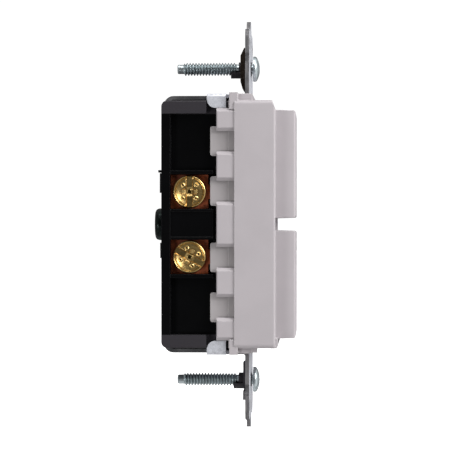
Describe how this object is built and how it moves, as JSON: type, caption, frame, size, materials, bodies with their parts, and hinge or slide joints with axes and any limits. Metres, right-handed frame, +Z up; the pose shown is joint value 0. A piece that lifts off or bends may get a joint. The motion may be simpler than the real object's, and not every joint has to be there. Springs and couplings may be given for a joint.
{
  "type": "gfci outlet",
  "caption": "Duplex ground-fault receptacle on a wrap-round steel strap, with test and reset buttons, side terminal screws and a trip mechanism inside.",
  "frame": {"origin": "centre of the wall-plate screw pattern, on the back face of the strap's ears", "axes": "+Z up along the strap, -Y out of the receptacle faces, +X to the right seen from the front; brass hot terminals on -X, so the ground holes are above the blades"},
  "size_m": [0.043, 0.0379, 0.1086],
  "materials": {
    "cover_grey": "satin moulded",
    "middle_grey": "moulded",
    "black_case": "moulded, fine texture",
    "zinc_steel": "zinc plated",
    "dark_screw": "dark green plated",
    "clip_bronze": "tarnished spring bronze",
    "brass": "bright",
    "silver_screw": "nickel plated",
    "copper_plate": "copper alloy strip",
    "plated_plate": "tin plated",
    "spring_steel": "drawn wire",
    "mechanism_plastic": "moulded",
    "copper_wire": "enamelled wire",
    "board_green": "solder mask",
    "toroid_case": "moulded",
    "component_blue": "epoxy dipped",
    "clear_lens": "clear moulded"
  },
  "bodies": {
    "housing": {"rear_housing": "black_case", "middle_housing": "middle_grey", "front_cover": "cover_grey", "mounting_strap": "zinc_steel", "assembly_screws": "zinc_steel", "grounding_clip": "clip_bronze", "line_hot_terminal": "copper_plate", "line_neutral_terminal": "plated_plate", "load_hot_terminal": "copper_plate", "load_neutral_terminal": "plated_plate", "hot_contact_bar": "brass", "neutral_contact_bar": "brass", "ground_contact_bar": "brass", "test_contact": "brass", "arm_posts": "brass", "solenoid_frame": "zinc_steel", "bobbin": "mechanism_plastic", "coil": "copper_wire", "circuit_board": "board_green", "differential_toroid": "toroid_case", "neutral_toroid": "toroid_case", "surge_varistor": "component_blue", "capacitors": "toroid_case", "control_chip": "toroid_case", "resistors": "component_blue", "led": "clear_lens", "light_pipe": "clear_lens", "upper_shutter_spring": "spring_steel", "lower_shutter_spring": "spring_steel", "test_spring": "spring_steel", "reset_spring": "spring_steel", "plunger_spring": "spring_steel"},
    "reset_button": {"reset_button": "cover_grey", "reset_pin": "spring_steel"},
    "contact_carrier": {"contact_carrier": "mechanism_plastic"},
    "latch": {"latch_slide": "mechanism_plastic"},
    "plunger": {"plunger": "spring_steel"},
    "hot_contact_arm": {"hot_contact_arm": "brass"},
    "neutral_contact_arm": {"neutral_contact_arm": "brass"},
    "test_button": {"test_button": "cover_grey"},
    "test_arm": {"test_arm": "brass"},
    "ground_screw": {"ground_screw": "dark_screw"},
    "upper_retainer": {"upper_screw_retainer": "black_case"},
    "lower_retainer": {"lower_screw_retainer": "black_case"},
    "upper_mounting_screw": {"upper_mounting_screw": "zinc_steel"},
    "lower_mounting_screw": {"lower_mounting_screw": "zinc_steel"},
    "upper_shutter": {"upper_shutter": "middle_grey"},
    "lower_shutter": {"lower_shutter": "middle_grey"},
    "line_hot_screw": {"line_hot_screw": "brass"},
    "line_hot_pressure_plate": {"line_hot_pressure_plate": "brass"},
    "line_neutral_screw": {"line_neutral_screw": "silver_screw"},
    "line_neutral_pressure_plate": {"line_neutral_pressure_plate": "silver_screw"},
    "load_hot_screw": {"load_hot_screw": "brass"},
    "load_hot_pressure_plate": {"load_hot_pressure_plate": "brass"},
    "load_neutral_screw": {"load_neutral_screw": "silver_screw"},
    "load_neutral_pressure_plate": {"load_neutral_pressure_plate": "silver_screw"}
  },
  "joints": [
    {"name": "reset_button_slide", "type": "slide", "parent": "housing", "child": "reset_button", "axis": [0, -1, 0], "range_m": [0, 0.0015], "deforming": ["reset_spring"]},
    {"name": "contact_carrier_slide", "type": "slide", "parent": "housing", "child": "contact_carrier", "axis": [0, 1, 0], "range_m": [0, 0.0015]},
    {"name": "latch_slide", "type": "slide", "parent": "contact_carrier", "child": "latch", "axis": [0, 0, 1], "range_m": [0, 0.0024]},
    {"name": "plunger_slide", "type": "slide", "parent": "housing", "child": "plunger", "axis": [0, 0, 1], "range_m": [0, 0.0024], "deforming": ["plunger_spring"]},
    {"name": "hot_arm_hinge", "type": "hinge", "parent": "housing", "child": "hot_contact_arm", "pos_m": [-0.0052, 0.0123, 0.0152], "axis": [1, 0, 0], "range_deg": [0, 3.8]},
    {"name": "neutral_arm_hinge", "type": "hinge", "parent": "housing", "child": "neutral_contact_arm", "pos_m": [0.0052, 0.0123, 0.0152], "axis": [1, 0, 0], "range_deg": [0, 3.8]},
    {"name": "test_button_slide", "type": "slide", "parent": "housing", "child": "test_button", "axis": [0, 1, 0], "range_m": [0, 0.0012], "stiffness_N_per_m": 250, "springref_m": -0.002, "deforming": ["test_spring"]},
    {"name": "test_arm_hinge", "type": "hinge", "parent": "housing", "child": "test_arm", "pos_m": [-0.0086, 0.00758, 0.0053], "axis": [0, 0, 1], "range_deg": [0, 8.1]},
    {"name": "line_hot_screw_turn", "type": "hinge", "parent": "housing", "child": "line_hot_screw", "pos_m": [-0.018, 0.0144, 0.0085], "axis": [-1, 0, 0], "range_deg": [0, 1080]},
    {"name": "line_hot_pressure_plate_slide", "type": "slide", "parent": "housing", "child": "line_hot_pressure_plate", "axis": [1, 0, 0], "range_m": [0, 0.00238]},
    {"name": "line_neutral_screw_turn", "type": "hinge", "parent": "housing", "child": "line_neutral_screw", "pos_m": [0.018, 0.0144, 0.0085], "axis": [1, 0, 0], "range_deg": [0, 1080]},
    {"name": "line_neutral_pressure_plate_slide", "type": "slide", "parent": "housing", "child": "line_neutral_pressure_plate", "axis": [-1, 0, 0], "range_m": [0, 0.00238]},
    {"name": "load_hot_screw_turn", "type": "hinge", "parent": "housing", "child": "load_hot_screw", "pos_m": [-0.018, 0.0144, -0.0085], "axis": [-1, 0, 0], "range_deg": [0, 1080]},
    {"name": "load_hot_pressure_plate_slide", "type": "slide", "parent": "housing", "child": "load_hot_pressure_plate", "axis": [1, 0, 0], "range_m": [0, 0.00238]},
    {"name": "load_neutral_screw_turn", "type": "hinge", "parent": "housing", "child": "load_neutral_screw", "pos_m": [0.018, 0.0144, -0.0085], "axis": [1, 0, 0], "range_deg": [0, 1080]},
    {"name": "load_neutral_pressure_plate_slide", "type": "slide", "parent": "housing", "child": "load_neutral_pressure_plate", "axis": [-1, 0, 0], "range_m": [0, 0.00238]},
    {"name": "ground_screw_turn", "type": "hinge", "parent": "housing", "child": "ground_screw", "pos_m": [0, 0.022, 0], "axis": [0, 1, 0], "range_deg": [0, 1080]},
    {"name": "upper_retainer_slide", "type": "slide", "parent": "housing", "child": "upper_retainer", "axis": [1, 0, 0], "range_m": [-0.002, 0.002]},
    {"name": "upper_mounting_screw_turn", "type": "hinge", "parent": "upper_retainer", "child": "upper_mounting_screw", "pos_m": [0, 0, 0.04167], "axis": [0, -1, 0], "continuous": true},
    {"name": "upper_shutter_slide", "type": "slide", "parent": "housing", "child": "upper_shutter", "axis": [1, 0, 0], "range_m": [0, 0.0029], "stiffness_N_per_m": 100, "springref_m": -0.002, "deforming": ["upper_shutter_spring"]},
    {"name": "lower_retainer_slide", "type": "slide", "parent": "housing", "child": "lower_retainer", "axis": [1, 0, 0], "range_m": [-0.002, 0.002]},
    {"name": "lower_mounting_screw_turn", "type": "hinge", "parent": "lower_retainer", "child": "lower_mounting_screw", "pos_m": [0, 0, -0.04167], "axis": [0, -1, 0], "continuous": true},
    {"name": "lower_shutter_slide", "type": "slide", "parent": "housing", "child": "lower_shutter", "axis": [1, 0, 0], "range_m": [0, 0.0029], "stiffness_N_per_m": 100, "springref_m": -0.002, "deforming": ["lower_shutter_spring"]}
  ],
  "couplings": [
    {"joint": "contact_carrier_slide", "follows": "reset_button_slide", "ratio": 1},
    {"joint": "latch_slide", "follows": "reset_button_slide", "ratio": 1.6},
    {"joint": "plunger_slide", "follows": "reset_button_slide", "ratio": 1.6},
    {"joint": "hot_arm_hinge", "follows": "reset_button_slide", "rad_per_m": 43.6},
    {"joint": "neutral_arm_hinge", "follows": "reset_button_slide", "rad_per_m": 43.6},
    {"joint": "test_arm_hinge", "follows": "test_button_slide", "rad_per_m": 116.2},
    {"joint": "line_hot_screw_turn", "follows": "line_hot_pressure_plate_slide", "rad_per_m": 7915.8},
    {"joint": "line_neutral_screw_turn", "follows": "line_neutral_pressure_plate_slide", "rad_per_m": 7915.8},
    {"joint": "load_hot_screw_turn", "follows": "load_hot_pressure_plate_slide", "rad_per_m": 7915.8},
    {"joint": "load_neutral_screw_turn", "follows": "load_neutral_pressure_plate_slide", "rad_per_m": 7915.8}
  ]
}
